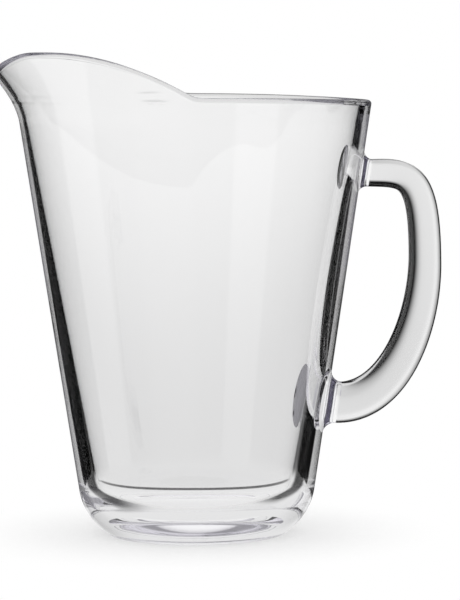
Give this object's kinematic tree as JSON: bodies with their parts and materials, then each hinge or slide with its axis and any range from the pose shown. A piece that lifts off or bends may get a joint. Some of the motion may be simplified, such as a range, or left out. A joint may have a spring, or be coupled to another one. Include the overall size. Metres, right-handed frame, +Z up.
{
  "type": "beer pitcher",
  "caption": "Clear pressed-glass pitcher: thick conical vessel with a heavy rounded base, raised flared spout and a solid D-shaped glass handle welded to the wall.",
  "frame": {"origin": "centre of the foot ring on the table plane, on the axis of the conical body", "axes": "+Z up along the body axis, -X towards the spout, +X towards the handle, Y across"},
  "size_m": [0.2112, 0.167, 0.2271],
  "materials": {
    "vessel_glass": "clear fire-polished pressed glass",
    "handle_glass": "clear solid glass, slightly wavy surface",
    "weld_glass": "clear glass with a faint lavender tint where it is thick"
  },
  "bodies": {
    "root": {"vessel": "vessel_glass", "handle": "handle_glass", "upper_weld": "weld_glass", "lower_weld": "weld_glass"}
  },
  "joints": []
}
